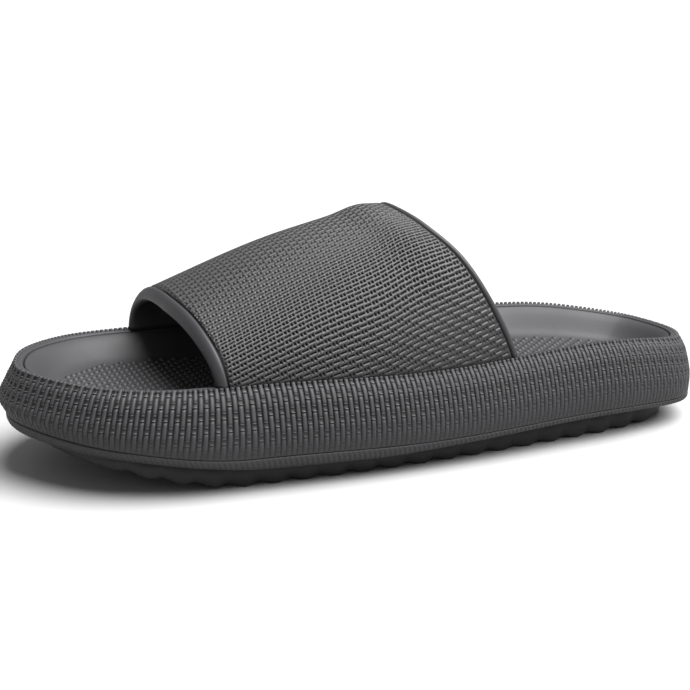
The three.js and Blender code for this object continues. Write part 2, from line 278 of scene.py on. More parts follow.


# %% [markdown]
# ## The foam's finishes
# EVA foam is injected into a polished or etched metal mould, so its skin is closed, satin and fine
# grained: a dark grey with a soft, wide highlight and no bright spots. One function makes the finish, as
# the slide is one material. What changes from place to place is how much the mould was polished, how
# dark the painted shade at the bottom of the relief is, and how light the painted highlight on its top is.

# %% The finishes


def linear(hex_colour):
    """An sRGB hex colour as linear values."""
    channels = [int(hex_colour[i : i + 2], 16) / 255 for i in (1, 3, 5)]
    return tuple(c / 12.92 if c <= 0.04045 else ((c + 0.055) / 1.055) ** 2.4 for c in channels) + (1.0,)


def add(tree, kind, inputs=(), **settings):
    """A node with its settings, and its inputs set to a value or linked to a socket."""
    node = tree.nodes.new(kind)
    for name, value in settings.items():
        setattr(node, name, value)
    for name, value in dict(inputs).items():
        if isinstance(value, bpy.types.NodeSocket):
            tree.links.new(value, node.inputs[name])
        else:
            node.inputs[name].default_value = value
    return node


def moulded_eva(name, raised, sunk, painted_highlight, roughness, grain_mm, grain_depth_mm):
    """Moulded EVA foam with painted light: the relief's raised parts get a painted highlight, its bottom
    painted shade.
    """
    material = bpy.data.materials.new(name)
    material.use_nodes = True
    tree = material.node_tree
    shader = tree.nodes["Principled BSDF"]
    place = add(tree, "ShaderNodeTexCoord").outputs["Object"]
    height = add(tree, "ShaderNodeAttribute", attribute_name="relief").outputs["Fac"]
    # Low in the relief the colour turns to the sunk one: painted shade in the slots and pits
    unshaded_share = add(
        tree,
        "ShaderNodeMapRange",
        {"Value": height, "From Min": -0.6, "From Max": 0.1},
        interpolation_type="SMOOTHSTEP",
    )
    # Clouds of about 40 mm: the pigment isn't mixed evenly
    clouds = add(tree, "ShaderNodeTexNoise", {"Vector": place, "Scale": 1 / (40 * MM), "Detail": 3.0})
    tint = add(
        tree,
        "ShaderNodeMix",
        {"Factor": unshaded_share.outputs["Result"], "A": linear(sunk), "B": linear(raised)},
        data_type="RGBA",
    )
    # What stands highest is painted lighter: a painted highlight where the rungs and cords catch the light
    painted_highlight_share = add(
        tree,
        "ShaderNodeMapRange",
        {"Value": height, "From Min": 0.08, "From Max": 0.22},
    )
    tint = add(
        tree,
        "ShaderNodeMix",
        {"Factor": painted_highlight_share.outputs["Result"], "A": tint.outputs["Result"], "B": linear(painted_highlight)},
        data_type="RGBA",
    )
    mottle = add(
        tree,
        "ShaderNodeMapRange",
        {
            "Value": clouds.outputs["Fac"],
            "From Min": 0.3,
            "From Max": 0.7,
            "To Min": 0.94,
            "To Max": 1.06,
        },
    )
    colour = add(
        tree,
        "ShaderNodeHueSaturation",
        {"Color": tint.outputs["Result"], "Value": mottle.outputs["Result"]},
    )
    tree.links.new(colour.outputs["Color"], shader.inputs["Base Color"])
    # The etched grain of the mould is finer than a tenth of a millimetre, and drawn coarser so that it shows
    grain = add(
        tree,
        "ShaderNodeTexNoise",
        {"Vector": place, "Scale": 1 / (grain_mm * MM), "Detail": 2.0, "Roughness": 0.6},
    )
    bump = add(
        tree,
        "ShaderNodeBump",
        {"Height": grain.outputs["Fac"], "Strength": 1.0, "Distance": grain_depth_mm * MM},
    )
    tree.links.new(bump.outputs["Normal"], shader.inputs["Normal"])
    gloss = add(
        tree,
        "ShaderNodeMapRange",
        {
            "Value": clouds.outputs["Fac"],
            "From Min": 0.3,
            "From Max": 0.7,
            "To Min": roughness - 0.05,
            "To Max": roughness + 0.05,
        },
    )
    tree.links.new(gloss.outputs["Result"], shader.inputs["Roughness"])
    shader.inputs["IOR"].default_value = 1.48
    shader.inputs["Specular IOR Level"].default_value = 0.4
    return material


# Each finish's second colour is painted shade for the bottom of the relief, and its third a painted
# highlight for the top of it
EVA_WOVEN_WALL = moulded_eva("moulded_eva_woven_wall", "#2c2c2e", "#121213", "#747476", 0.6, 0.8, 0.05)
EVA_WOVEN_STRAP = moulded_eva("moulded_eva_woven_strap", "#2b2b2c", "#020203", "#3a3a3b", 0.46, 0.8, 0.05)
EVA_SATIN = moulded_eva("moulded_eva_satin_skin", "#2c2c2e", "#141415", "#323234", 0.55, 0.8, 0.04)
# The tread's colour is a little darker than the rest of the foam: painted shade under the sole
EVA_TREAD = moulded_eva("moulded_eva_tread", "#262627", "#121213", "#262627", 0.65, 1.0, 0.06)

# %% [markdown]
# ## The body of the sole
# The body carries what is smooth on the real sole: the flat rim, the narrow groove inside it, the inner
# wall and the footbed, and the recess for the tread. It is one closed sheet of rings, each the outline
# moved in by some millimetres, and the last rings close on the middle line. Stacking solids and joining
# them with booleans would work too, but rings keep the wall's curve smooth all the way round. The side
# wall and the lower band are set back here, because the woven skin covers them.

# %% The sole's body
SOLE_STATIONS = 420
t_row = np.arange(SOLE_STATIONS + 1) / SOLE_STATIONS


RIM_SIDE, RIM_TOE, RIM_HEEL = WALL[0, 1:]
INNER_WALL_WIDTH = 14.0
DOWN_AT_WALL_FOOT = 0.96
WALL_SET_BACK = 2.4


def wall_xy(t, down, deeper=0.0):
    insets = (smooth(WALL, column, down) + deeper for column in (1, 2, 3))
    return inset_xy(t, *insets)


def ring(side, toe, heel, height):
    x, y = inset_xy(t_row, side, toe, heel)
    return stacked(x, y, height(x))


def towards_middle(points, share, end_margin):
    """A ring moved towards its middle line, which stops short of the ring's two ends."""
    across = points[::-1]
    middle = (points + across) / 2
    middle[:, 0] *= 1 - 2 * end_margin / LENGTH
    return lerp(points, middle, share)


def arch_lift(points, share):
    """How far the footbed rises under the arch of the foot, on the inner side."""
    away = np.minimum(1, np.abs(share_at(points[:, 0]) - ARCH_AT) / ARCH_REACH)
    return np.where(points[:, 1] > 0, 0, ARCH_RISE * share * (1 + np.cos(np.pi * away)) / 2)


# Distance past the rim's flat top, and share of the footbed's depth
INNER_WALL = np.array([
    (0.0, 0.06),
    (3.0, 0.22),
    (7.0, 0.56),
    (10.5, 0.84),
    (INNER_WALL_WIDTH, DOWN_AT_WALL_FOOT),
])


def footbed_drop(x):
    return FOOTBED_DEPTH * smooth(HEIGHTS, 4, share_at(x))


def inner_wall(past):
    """A ring of the inner wall, past millimetres inside the rim's flat top."""
    rim = rim_ring(RIM_WIDTH, 0.0)
    points = towards_middle(rim, past / (BALL_WIDTH / 2 - RIM_SIDE - RIM_WIDTH), HEEL_WIDTH / 2)
    down = smooth(INNER_WALL, 1, past)
    x = points[:, 0]
    points[:, 2] = rim_z(x) - footbed_drop(x) * down + arch_lift(points, down)
    return points


def bed(share):
    """A ring of the footbed: share 0 is the foot of the inner wall, share 1 the middle line."""
    points = towards_middle(inner_wall(INNER_WALL_WIDTH), share, HEEL_WIDTH / 4)
    x = points[:, 0]
    down = lerp(DOWN_AT_WALL_FOOT, 1.0, min(1.0, share / 0.35))
    points[:, 2] = rim_z(x) - footbed_drop(x) * down + arch_lift(points, 1 - share)
    return points


def band_xy(t, up, deeper=0.0):
    """The lower band's section: up 0 is its foot, up 1 the parting line, with a round belly between."""
    belly = 1 - (1 - up) ** 2.2
    ends = ((6.0, 1.6), (4.8, 2.8), (2.8, 0.2))
    insets = (lerp(foot, top, belly) - 0.3 * np.sin(np.pi * up) + deeper for foot, top in ends)
    return inset_xy(t, *insets)


def band_ring(up, deeper):
    """A ring of the lower band, under the woven skin."""
    x, y = band_xy(t_row, up, deeper)
    return stacked(x, y, lerp(band_foot_z(x), parting_z(x) - 0.4, up))


# Along the foot, how wide the rim is as a share of its width under the strap
RIM_SHARES = np.array([
    (-144.0, 0.58),
    (-98.0, 0.58),
    (-74.0, 1.0),
    (36.0, 1.0),
    (62.0, 0.68),
    (144.0, 0.6),
])


def rim_share(t):
    return smooth(RIM_SHARES, 1, outline(t)[0][..., 0])


def rim_ring(past, drop):
    """A ring of the rim, past millimetres inside its outer edge where the strap stands."""
    inside = past * rim_share(t_row)
    insets = (RIM_SIDE + inside, RIM_TOE + inside, RIM_HEEL + inside)
    return ring(*insets, lambda x: rim_z(x) - drop)


def skin_end(more, drop):
    """A ring of the rim where the woven skin ends: far in along the sides, and early at the toe."""
    side = RIM_SIDE + 3.3 * rim_share(t_row) + more
    return ring(side, 7.3 + more, 6.2 + more, lambda x: rim_z(x) - drop)


def set_back_wall(down):
    """A ring of the side wall, under the woven skin."""
    x, y = wall_xy(t_row, down, WALL_SET_BACK)
    return stacked(x, y, lerp(rim_z(x), parting_z(x), down))


# The recess is wider than the tread by the gap between the two
TREAD_INSETS = (12.0, 15.0, 12.0)
seat = [inset - FIT_GAP for inset in TREAD_INSETS]
seat_ring = ring(*seat, lambda x: band_foot_z(x) + TREAD_SEAT)
sole_rings = [
    towards_middle(seat_ring, 1.0, 12 + TREAD_SEAT),
    seat_ring,
    ring(*seat, band_foot_z),
    ring(7.0, 5.8, 3.8, lambda x: band_foot_z(x) + 0.05),
    ring(6.3, 5.1, 3.1, lambda x: band_foot_z(x) + 0.2),
    band_ring(0.14, 0.9),
    band_ring(0.5, 0.9),
    band_ring(0.9, 0.9),
    band_ring(1.0, 2.6),
    *[set_back_wall(down) for down in (0.97, 0.8, 0.6, 0.4, 0.2, 0.08)],
    skin_end(-1.6, 1.5),
    skin_end(-0.3, 1.4),
    skin_end(-0.1, 0.5),
    skin_end(0.1, 0.3),
    skin_end(0.3, 0.25),
    rim_ring(RIM_WIDTH - 0.9, 0.3),
    rim_ring(RIM_WIDTH - 0.45, 0.5),
    rim_ring(RIM_WIDTH - 0.1, 1.0),
    rim_ring(RIM_WIDTH, 1.6),
    rim_ring(RIM_WIDTH + 0.1, 2.5),
    rim_ring(RIM_WIDTH + 0.6, 2.5),
    rim_ring(RIM_WIDTH + 0.7, 1.5),
    rim_ring(RIM_WIDTH + 0.85, 0.95),
    *[inner_wall(past) for past in (0.9, 1.6, 3.0, 4.5, 6.0, 7.5, 9.0, 10.5, 12.2, 14.0)],
    *[bed(share) for share in (0.08, 0.17, 0.26, 0.35, 0.5, 0.65, 0.82, 1.0)],
]
sole_points = np.stack(sole_rings)
sole_points[:, -1] = sole_points[:, 0]
sole = bent_sheet("sole_body", sole_points, np.zeros(sole_points.shape[:2]), EVA_SATIN)
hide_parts("sole")

# %% [markdown]
# ## The woven skin of the side wall
# The mould has a pattern like coarse cloth: upright bars about 2.1 mm apart with a narrow slot between
# them, and on each bar, every 9.3 mm, a crossing where two short crossbars stand over small pits. The
# crossings of neighbouring bars lie half a step apart, like bricks. A bump map would look right from
# afar, but the bars make small teeth against the light along the rim, so they are real geometry.

# %% The relief of one bar
# Along the foot, how far apart the bars stand, in millimetres
BAR_SPACING = np.array([(-60.0, 2.1), (-10.0, 2.06), (60.0, 1.9), (144.0, 1.9)])
CROSSING_PITCH = 9.3
# Along the foot, how far the band hangs below the body's underside, in millimetres
BAND_HANGS = np.array([
    (-144.0, 0.0),
    (-75.0, 0.4),
    (-55.0, 1.7),
    (-10.0, 1.8),
    (8.0, 1.2),
    (22.0, 0.8),
    (144.0, 0.4),
])
RIM_STEPS = np.array([1.0, 0.93, 0.85, 0.72, 0.58, 0.44, 0.3, 0.16])
BAND_STEPS = np.array([0.96, 0.88, 0.76, 0.62, 0.48, 0.34, 0.2, 0.08, 0.0])
# Across one bar, as shares of the pitch: the slot's bottom, its two shoulders and the flat top
BAR_SAMPLES = [0.0, 0.1, 0.2, 0.5, 0.8, 0.9]
# Down half a step, in millimetres from the crossing: two rungs, each between two pits
CROSSING_SAMPLES = [-1.75, -1.4, -1.15, -0.95, -0.7, -0.4, 0.3, 0.6, 0.85, 1.1, 1.35, 1.7, 2.5]


def bar_relief(across, down):
    """Height in millimetres: across 0..1 over the bar, down in millimetres from its crossing."""
    from_slot = np.minimum(across, 1 - across)
    slot = np.clip(1 - (from_slot - 0.05) / 0.12, 0, 1)
    bar = 0.06 * np.sin(np.pi * across) - 1.0 * slot
    sunk = np.clip((1.75 - np.abs(down + 0.05)) / 0.35, 0, 1)
    rung = np.maximum(
        np.clip(1 - np.abs(down + 1.05) / 0.3, 0, 1),
        np.clip(1 - np.abs(down - 0.85) / 0.3, 0, 1),
    )
    on_bar = np.clip((from_slot - 0.1) / 0.1, 0, 1)
    return bar - 0.5 * sunk * on_bar + 0.74 * rung * on_bar


def samples(cell, pitch, first, last):
    """The places of a cell's samples, repeated every pitch over a range."""
    starts = np.arange(math.floor(first / pitch) - 1, math.ceil(last / pitch) + 2) * pitch
    places = (starts[:, None] + np.array(cell)).ravel()
    return places[(places >= first) & (places < last)]


# %% The skin over one half of the wall


def wall_lengths(t):
    """How far down the wall's surface each share of its height lies, in millimetres."""
    down = np.linspace(0, 1, 61)
    x, y = wall_xy(t[None, :], down[:, None])
    z = lerp(rim_z(x), parting_z(x), down[:, None])
    steps = np.linalg.norm(np.diff(stacked(x, y, z), axis=0), axis=-1)
    return down, np.concatenate([np.zeros((1, len(t))), np.cumsum(steps, axis=0)])


def surface_normals(points):
    """Unit normals of a sheet of points, facing out of the slide."""
    down = np.gradient(points, axis=0)
    along = np.gradient(points, axis=1)
    normal = np.cross(down, along)
    size = np.linalg.norm(normal, axis=-1, keepdims=True)
    return normal / np.maximum(size, 1e-12)


def woven_wall(name, start, end):
    """The skin from the rim to the foot of the band, between two distances along the outline."""
    # The bars stand a tenth closer at the heel than at the toe
    places = np.linspace(start, end, 2001)
    closer = smooth(BAR_SPACING, 1, outline(t_at(places))[0][:, 0])
    counted = np.concatenate([[0], np.cumsum(np.diff(places) / ((closer[1:] + closer[:-1]) / 2))])
    bars = 2 * round(counted[-1] / 2)
    bar_places = (np.arange(bars)[:, None] + np.array(BAR_SAMPLES)).ravel()
    bar_places = np.append(bar_places, bars)
    distance = np.interp(bar_places, counted * bars / counted[-1], places)
    t = t_at(distance)
    point, along = outline(t)
    # The skin goes on over the rim, far along the sides and hardly at the toe
    tips = along[:, 1] ** 2
    over_rim = lerp(3.4 * rim_share(t), np.where(along[:, 1] < 0, 0.7, 1.1), tips)
    down_shares, lengths = wall_lengths(t)
    full = lengths[-1]
    half_step = CROSSING_PITCH / 2
    first_crossing = 1.3
    below = samples(CROSSING_SAMPLES, half_step, -first_crossing + 0.05, full.max() - first_crossing)
    below = np.append(below + first_crossing, full.max())
    depth = np.concatenate([-over_rim * RIM_STEPS[:, None], np.minimum(below[:, None], full)])
    down = np.stack([np.interp(depth[:, k], lengths[:, k], down_shares) for k in range(len(t))], axis=1)
    # Towards the toe the bars lean, at right angles to the sole that rises there
    rise = spring_z(point[:, 0] - 1) - spring_z(point[:, 0] + 1)
    lean = 0.3 * rise * along[:, 0] * np.abs(along[:, 0])
    shifted = t_at(distance - lean * np.maximum(depth, 0))
    x, y = wall_xy(shifted, down, np.maximum(-depth, 0))
    crown = 0.09 * np.maximum(-depth, 0)
    base = stacked(x, y, lerp(rim_z(x), parting_z(x), down) - crown)
    normals = surface_normals(base)
    across = np.mod(bar_places, 1)
    odd = np.floor(bar_places).astype(int) % 2
    phase = depth - first_crossing - odd * half_step
    phase = np.mod(phase + half_step, CROSSING_PITCH) - half_step
    relief = bar_relief(across, phase)
    # The relief is shallower low on the wall and towards the heel, and ends on the parting line
    left = np.clip((full - depth) / 0.7, 0, 1)
    ends = np.clip((over_rim + depth) / 0.5, 0, 1)
    shallow = lerp(1.0, 0.3, np.clip((down - 0.4) / 0.55, 0, 1))
    heelwards = lerp(1.0, 0.7, np.clip((point[:, 0] + 40) / 90, 0, 1))
    relief = relief * left * ends * shallow * heelwards
    # Each bar stands up where it turns over the rim, which makes the small teeth of the outline
    turn = np.exp(-(((depth - 0.1) / 0.9) ** 2))
    lift = 0.35 * turn * np.clip((np.minimum(across, 1 - across) - 0.1) / 0.1, 0, 1)
    outer = base + normals * (relief + lift)[..., None]
    # Below the parting line's narrow groove the same skin makes the lower band, ridged like a rope
    x, y = wall_xy(t, np.ones(len(t)), 1.0)
    seam = stacked(x, y, parting_z(x) - 0.2)
    x, y = band_xy(t, BAND_STEPS[:, None])
    foot = band_foot_z(x) - smooth(BAND_HANGS, 1, x)
    band = stacked(x, y, lerp(foot, parting_z(x) - 0.4, BAND_STEPS[:, None]))
    rope = np.sin(2 * np.pi * (bar_places + 1.2 * BAND_STEPS[:, None]))
    rope = rope * np.sin(np.pi * BAND_STEPS[:, None]) * lerp(0.16, 0.32, share_at(point[:, 0]))
    outer_band = band + surface_normals(band) * rope[..., None]
    # Two hidden rows behind the skin close it into a thin shell
    x, y = inset_xy(t, 8.0, 7.0, 5.0)
    low = stacked(x, y, band_foot_z(x) + 0.8)
    x, y = wall_xy(t, np.zeros(len(t)), over_rim - 0.2)
    high = stacked(x, y, rim_z(x) - 1.9)
    points = np.concatenate([outer, seam[None], outer_band, low[None], high[None]])
    # The groove's row gets the lowest height, so it is painted darkest: painted shade in the groove. The
    # band's heights sit a little low, for painted shade in its furrows
    heights = np.concatenate([relief, np.full((1, len(t)), -1.0), rope - 0.1, np.zeros((2, len(t)))])
    piece = bent_sheet(name, points, heights, EVA_WOVEN_WALL, closed_rows=True)
    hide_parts("sole")
    return piece


woven_wall("woven_wall_inner_side", 0.0, HEEL_DISTANCE)
woven_wall("woven_wall_outer_side", HEEL_DISTANCE, AROUND)

# %% [markdown]
# ## The strap
# The strap is a wall of foam about 5 mm thick that rises from the rim on both sides. Its front edge ends
# in a smooth round bead and its rear edge in a thin lip. Between them lies the woven field. The body
# holds the bead, the lip and the lining, with the field sunk a little, and three woven skins fill it.
# Solidify on a single sheet would give the wall, but not a bead in front and a lip behind, so one closed
# loop is drawn round the wall's section, and a row of it stands at each point of the profile.

# %% The strap's surface
RIM_INSETS = (RIM_SIDE + STRAP_MARGIN, RIM_TOE + STRAP_MARGIN, RIM_HEEL + STRAP_MARGIN)
inner_t = np.linspace(0, 0.5, 4001)
outer_t = np.linspace(1, 0.5, 4001)
inner_x, inner_y = inset_xy(inner_t, *RIM_INSETS)
outer_x, outer_y = inset_xy(outer_t, *RIM_INSETS)


def edge_x(across, column):
    return (smooth(STRAP_EDGES, column, across) - 0.5) * LENGTH


def strap_at(across, x, along):
    """A point of the strap's outer face over the foot, at x."""
    left = np.interp(x, inner_x, inner_y)
    right = np.interp(x, outer_x, outer_y)
    cos = -np.cos(np.pi * across)
    sin = np.clip(np.sin(np.pi * across), 0, None)
    sideways = np.sign(cos) * np.abs(cos) ** (2 / 2.5)
    rise = STRAP_RISE * smooth(STRAP_RIDGE, 1, along) - FIT_GAP
    upwards = sin ** (2 / lerp(2.5, 2.2, np.clip(along, 0, 1)))
    y = (left + right) / 2 + (right - left) / 2 * sideways + STRAP_LEAN * sin
    return stacked(x, y, rim_z(x) + FIT_GAP + rise * upwards)


def strap_point(across, along):
    x = lerp(edge_x(across, 1), edge_x(across, 2), along)
    return strap_at(across, x, along)


def strap_normal(across, along):
    step = 0.004
    low = np.maximum(across - step, 0)
    high = np.minimum(across + step, 1)
    over_top = strap_point(high, along) - strap_point(low, along)
    along_foot = strap_point(across, along + step) - strap_point(across, along - step)
    normal = np.cross(along_foot, over_top)
    return normal / np.linalg.norm(normal, axis=-1, keepdims=True)


# %% The strap's body
STRAP_STATIONS = 193
across_row = np.linspace(0, 1, STRAP_STATIONS)
front_x = edge_x(across_row, 1)
strap_length = edge_x(across_row, 2) - front_x
FIELD_START = FRONT_BEAD + 0.5
FIELD_END = REAR_LIP + 0.4
FIELD_HEIGHT = -1.3
# Distance from the front edge and height over the strap's face, both in millimetres
FRONT_PROFILE = [
    (0.0, -2.8),
    (0.15, -2.1),
    (0.6, -1.3),
    (1.3, -0.6),
    (2.1, -0.05),
    (2.9, 0.25),
    (3.5, 0.25),
    (3.8, -0.15),
    (4.1, -0.9),
    (4.6, -1.2),
]
# Distance from the rear edge and height
REAR_PROFILE = [
    (2.9, -1.2),
    (2.5, -0.7),
    (2.2, 0.0),
    (1.7, 0.22),
    (1.1, 0.25),
    (0.5, 0.0),
    (0.12, -0.6),
    (0.0, -1.4),
]
loop_from = [np.full(STRAP_STATIONS, distance) for distance, height in FRONT_PROFILE]
loop_height = [height for distance, height in FRONT_PROFILE]
for share in np.linspace(0.06, 0.94, 15):
    loop_from.append(lerp(FRONT_PROFILE[-1][0], strap_length - REAR_PROFILE[0][0], share))
    loop_height.append(FIELD_HEIGHT)
loop_from += [strap_length - distance for distance, height in REAR_PROFILE]
loop_height += [height for distance, height in REAR_PROFILE]
for back, height in ((0.0, -3.4), (0.5, -4.5), (1.4, -STRAP_WALL)):
    loop_from.append(strap_length - back)
    loop_height.append(height)
for share in np.linspace(0.92, 0.08, 15):
    loop_from.append(strap_length * share)
    loop_height.append(-STRAP_WALL)
for back, height in ((1.4, -STRAP_WALL), (0.5, -4.5), (0.05, -3.4)):
    loop_from.append(np.full(STRAP_STATIONS, back))
    loop_height.append(height)
strap_rows = []
for distance, height in zip(loop_from, loop_height):
    along = distance / strap_length
    points = strap_point(across_row, along) + height * strap_normal(across_row, along)
    for foot in (0, -1):
        points[foot, 2] = rim_z(points[foot, 0]) - 0.3
    strap_rows.append(points)
strap_points = np.stack(strap_rows)
strap_heights = np.zeros(strap_points.shape[:2])
strap = bent_sheet("strap_body", strap_points, strap_heights, EVA_SATIN, closed_rows=True)
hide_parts("strap")

# %% [markdown]
# ## The woven skin of the strap
# Here the rows run up along the foot, side by side like cords, and about twenty of them run out at the
# rim. Along a row a long thin slot takes turns with two small square pits, and the next row is half a
# step on. The two pits with the short bar between them are what makes it look like cloth from a
# distance. The rows follow a rule and not the strap's edges, because the mould's cutter did the same.

# %% The relief of one row
SLOT_PITCH = 5.9
ROW_SAMPLES = [0.1, 0.34, 0.42, 0.58, 0.66, 0.9]
SLOT_SAMPLES = [-1.4, -1.19, -0.93, -0.43, -0.18, 0.18, 0.43, 0.93, 1.19, 1.4]


def row_relief(across, along):
    """Height in millimetres: across 0..1 over the row, along in millimetres from the slot's middle."""
    from_middle = np.abs(across - 0.5)
    reach = np.abs(along)
    from_pits = np.abs(reach - SLOT_PITCH / 2)
    slot = (reach < 1.3) * np.clip((0.16 - from_middle) / 0.08, 0, 1)
    in_pit = np.clip((0.5 - np.abs(from_pits - 0.68)) / 0.25, 0, 1)
    pit = in_pit * np.clip((0.4 - from_middle) / 0.2, 0, 1)
    cord = 0.05 + 0.07 * np.cos(2 * np.pi * across)
    return cord - 0.95 * slot - 1.0 * pit


# %% Where the rows lie
X_TABLE = np.linspace(-92.0, 56.0, 149)
# Along the foot: where the strap's shoulder is, in millimetres down from its ridge, and how far the
# rows have drifted by there, counted in rows
SHOULDER = np.array([
    (-90.0, 68.0, 7.0),
    (-40.0, 56.5, 3.2),
    (0.0, 44.5, 0.0),
    (15.0, 42.5, 1.0),
    (50.0, 40.0, 5.5),
])
# Rows per millimetre, by the distance below the shoulder: closest just above it
ROW_CLOSENESS = np.array([
    (-160.0, 0.42),
    (-50.0, 0.43),
    (-36.0, 0.5),
    (-26.0, 0.59),
    (-16.0, 0.67),
    (-8.0, 0.59),
    (0.0, 0.5),
    (6.0, 0.457),
    (60.0, 0.455),
])
below_shoulder = np.linspace(-160, 60, 881)
closeness = smooth(ROW_CLOSENESS, 1, below_shoulder)
row_counts = np.cumsum(closeness) * (below_shoulder[1] - below_shoulder[0])
row_counts = row_counts - np.interp(0, below_shoulder, row_counts)
ROW_TABLE = np.linspace(-75, 30, 841)


def along_at(across, x):
    """Share of the way from the strap's front edge to its rear edge."""
    front = edge_x(across, 1)
    return np.clip((x - front) / (edge_x(across, 2) - front), 0, 1)


def across_table():
    """For each x of X_TABLE and row of ROW_TABLE, how far over the foot that row lies."""
    across = np.linspace(0, 1, 481)
    grid_across = np.broadcast_to(across[:, None], (481, len(X_TABLE)))
    points = strap_at(grid_across, X_TABLE[None, :], along_at(grid_across, X_TABLE[None, :]))
    steps = np.linalg.norm(np.diff(points[..., 1:], axis=0), axis=-1)
    length = np.concatenate([np.zeros((1, len(X_TABLE))), np.cumsum(steps, axis=0)])
    below_ridge = length[240] - length
    shoulder = smooth(SHOULDER, 1, X_TABLE)
    drift = smooth(SHOULDER, 2, X_TABLE)
    places = []
    for k in range(len(X_TABLE)):
        row = drift[k] + np.interp(below_ridge[:, k] - shoulder[k], below_shoulder, row_counts)
        places.append(np.interp(ROW_TABLE, row[::-1], across[::-1]))
    return np.stack(places)


ACROSS = across_table()


def across_at(row, x):
    """How far over the foot a row lies at x, read between the places of the table."""
    i = np.clip((x - X_TABLE[0]) / (X_TABLE[1] - X_TABLE[0]), 0, len(X_TABLE) - 1.001)
    j = np.clip((row - ROW_TABLE[0]) / (ROW_TABLE[1] - ROW_TABLE[0]), 0, len(ROW_TABLE) - 1.001)
    i0 = i.astype(int)
    j0 = j.astype(int)
    low = lerp(ACROSS[i0, j0], ACROSS[i0, j0 + 1], j - j0)
    high = lerp(ACROSS[i0 + 1, j0], ACROSS[i0 + 1, j0 + 1], j - j0)
    return lerp(low, high, i - i0)


# %% The skin over one part of the strap


def woven_strap(name, first_row, last_row):
    """The skin of the strap between two rows, counted from the inner side's shoulder."""
    x_first = edge_x(across_row, 1).min() + FIELD_START
    x_last = edge_x(across_row, 2).max() - FIELD_END
    half_step = SLOT_PITCH / 2
    x_places = samples(SLOT_SAMPLES, half_step, x_first - 1, x_last + 1)
    rows = (np.arange(first_row, last_row)[:, None] + np.array(ROW_SAMPLES)).ravel()
    rows = np.concatenate([[first_row - 0.12], rows, [last_row + 0.12]])[::-1]
    within = np.mod(rows, 1)
    odd = np.floor(rows).astype(int) % 2
    # The pits stand square to the rows, so the grid's columns lean a little within each row
    x_goal = x_places + 0.7 * (within - 0.5)[:, None]
    x = x_goal.copy()
    row = np.broadcast_to(rows[:, None], x.shape)
    for step in range(6):
        across = across_at(row, x)
        front = edge_x(across, 1) + FIELD_START
        rear = edge_x(across, 2) - FIELD_END
        x = np.clip(x_goal, front, rear)
    # Rows that have run out at the rim all collapse onto its line, at the same places
    run_out = (across < 1e-4) | (across > 1 - 1e-4)
    x = np.where(run_out, np.clip(x_places, front, rear), x)
    along = along_at(across, x)
    base = strap_at(across, x, along)
    normals = strap_normal(across, along)
    phase = x_places - odd[:, None] * half_step
    phase = np.mod(phase + half_step, SLOT_PITCH) - half_step
    relief = row_relief(within[:, None], phase)
    # Low on the strap's rear half the relief is shallow, as the mould opens sideways there
    below = np.interp(row - smooth(SHOULDER, 2, x), row_counts, below_shoulder)
    weak = np.clip((below - 6) / 14, 0, 1) * np.clip((x + 25) / 45, 0, 1)
    relief = relief * lerp(1.0, 0.45, weak)
    from_edge = np.minimum(x - front, rear - x)
    from_foot = np.minimum(across, 1 - across) * 160
    fade = np.clip(from_edge / 0.7, 0, 1) * np.clip(from_foot / 0.8, 0, 1)
    relief = lerp(-0.3, relief, fade)
    outer = base + normals * relief[..., None]
    # The back of the skin lies on the sunk field, and follows it in a few rows
    back_rows = np.linspace(len(rows) - 1, 0, 14).astype(int)
    back = (base - normals * 1.7)[back_rows]
    points = np.concatenate([outer, back])
    heights = np.concatenate([relief, np.full(back.shape[:2], -1.0)])
    over_foot = np.concatenate([across, across[back_rows]])
    on_foot = (over_foot < 1e-4) | (over_foot > 1 - 1e-4)
    points[..., 2] = np.where(on_foot, rim_z(points[..., 0]) - 0.2, points[..., 2])
    piece = bent_sheet(name, points, heights, EVA_WOVEN_STRAP, closed_rows=True)
    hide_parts("strap")
    return piece


woven_strap("woven_strap_inner_side", -6, 26)
woven_strap("woven_strap_top", -38, -6)
woven_strap("woven_strap_outer_side", -70, -38)

# %% [markdown]
# ## The massage bumps of the footbed
# The footbed carries small raised lozenges on a diagonal lattice with a pitch of 3.5 mm, which keep the
# foot from sliding. An array modifier would lay them out flat, but the footbed is dished, so one low cone
# with a flat top is set down again and again, each time where a ray from above meets the footbed and
# square to it, and all of them are joined in one mesh.

